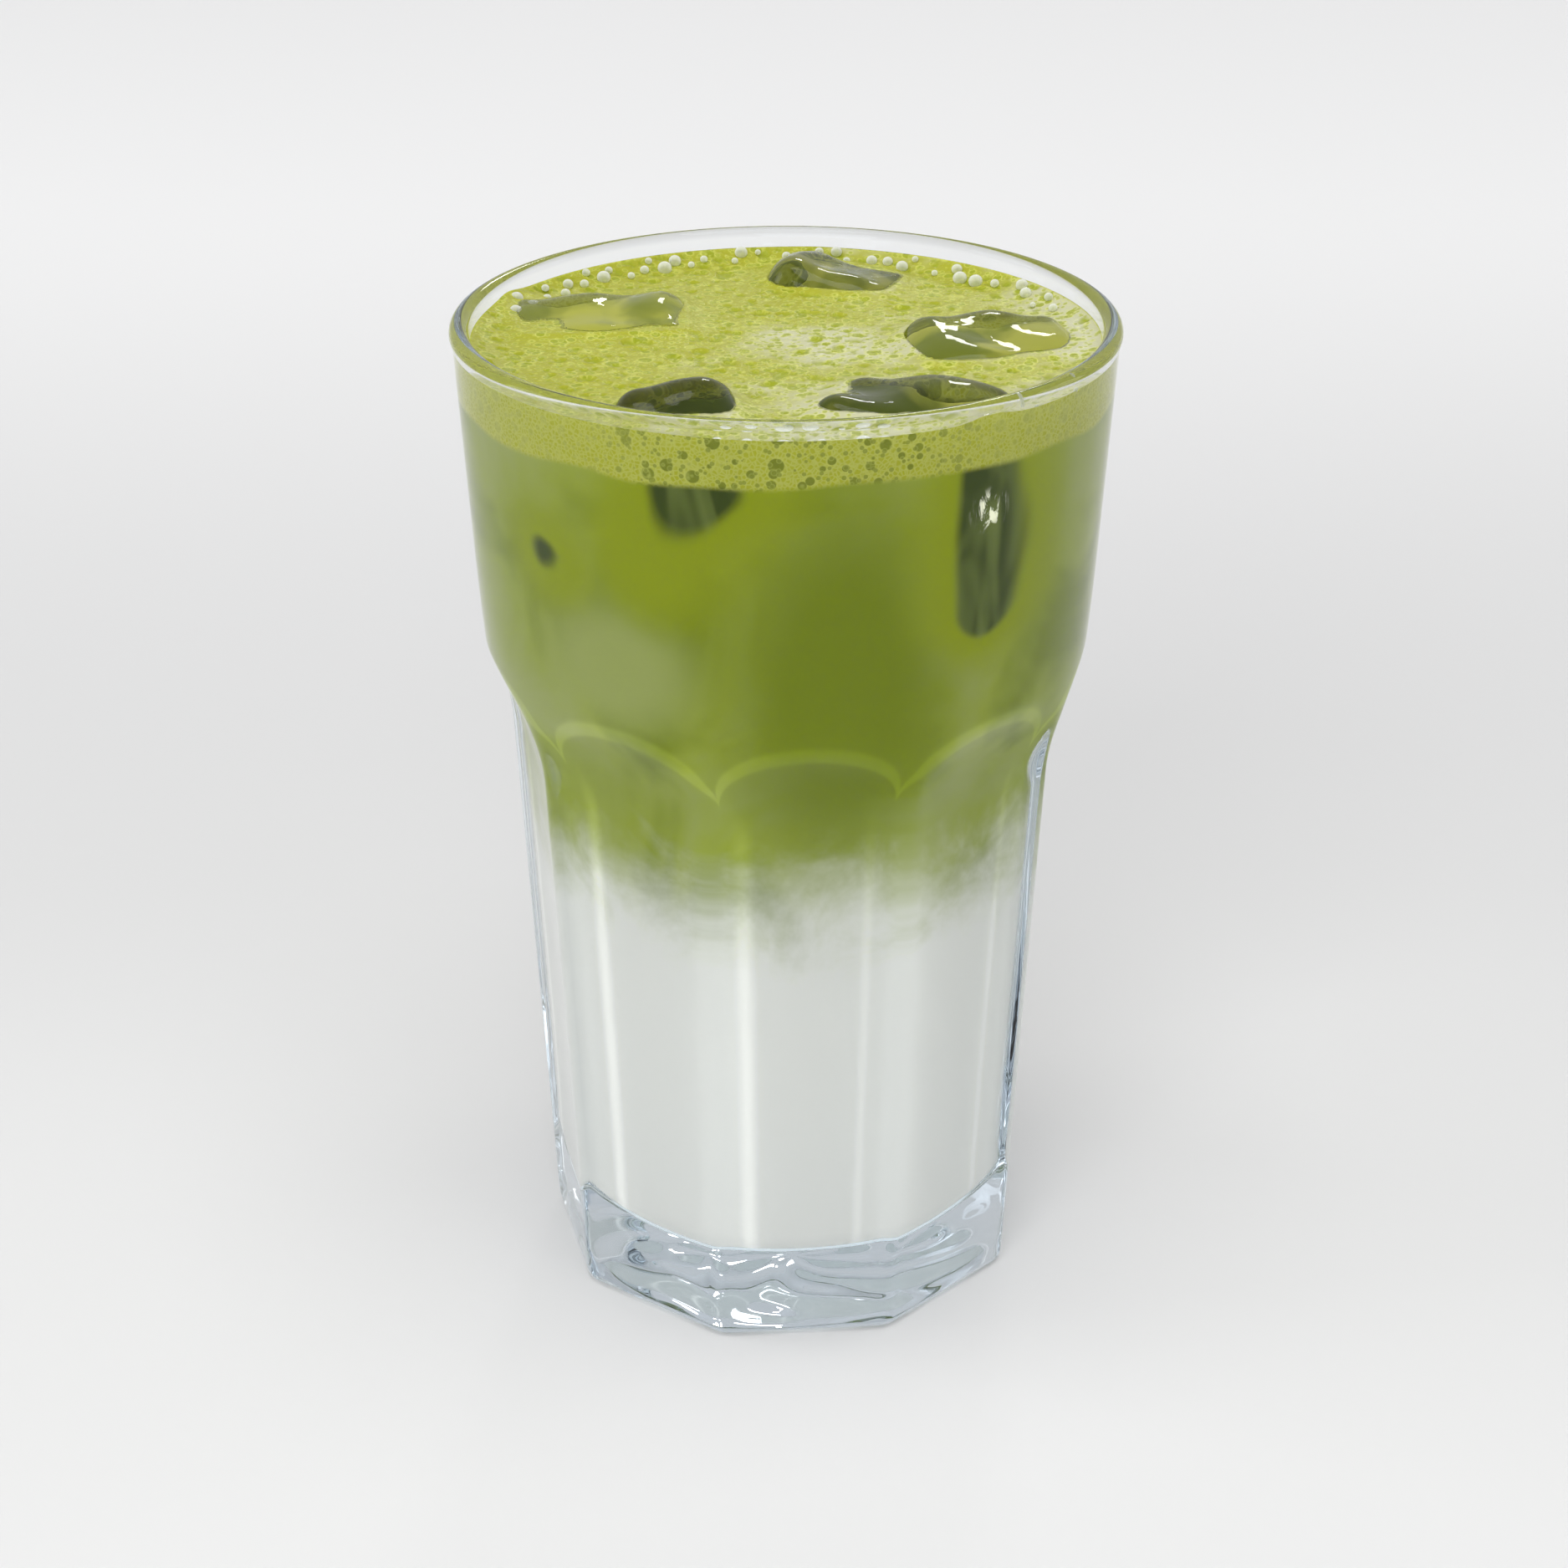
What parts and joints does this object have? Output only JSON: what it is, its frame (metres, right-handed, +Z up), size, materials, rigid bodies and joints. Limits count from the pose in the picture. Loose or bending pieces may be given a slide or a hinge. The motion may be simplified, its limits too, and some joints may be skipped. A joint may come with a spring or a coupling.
{
  "type": "iced matcha latte",
  "caption": "Iced matcha latte in a tall clear tumbler with flat panels cut into its lower body: milk below, green tea above, thin foam and ice on top.",
  "frame": {"origin": "centre of the glass's base, where it rests on the table", "axes": "+Z up along the glass's axis; -Y faces the camera of the picture; +X to the picture's right"},
  "size_m": [0.0886, 0.0888, 0.14],
  "materials": {
    "clear_glass": "clear pressed soda-lime glass, polished",
    "milk": "opaque liquid, smooth",
    "matcha": "opaque liquid, smooth",
    "foam": "wet foam with small bubbles",
    "ice": "clear wet ice"
  },
  "bodies": {
    "root": {"glass": "clear_glass", "milk_layer": "milk", "matcha_layer": "matcha", "foam_layer": "foam", "ice_left": "ice", "ice_back": "ice", "ice_right": "ice", "ice_front_left": "ice", "ice_front_right": "ice"}
  },
  "joints": []
}
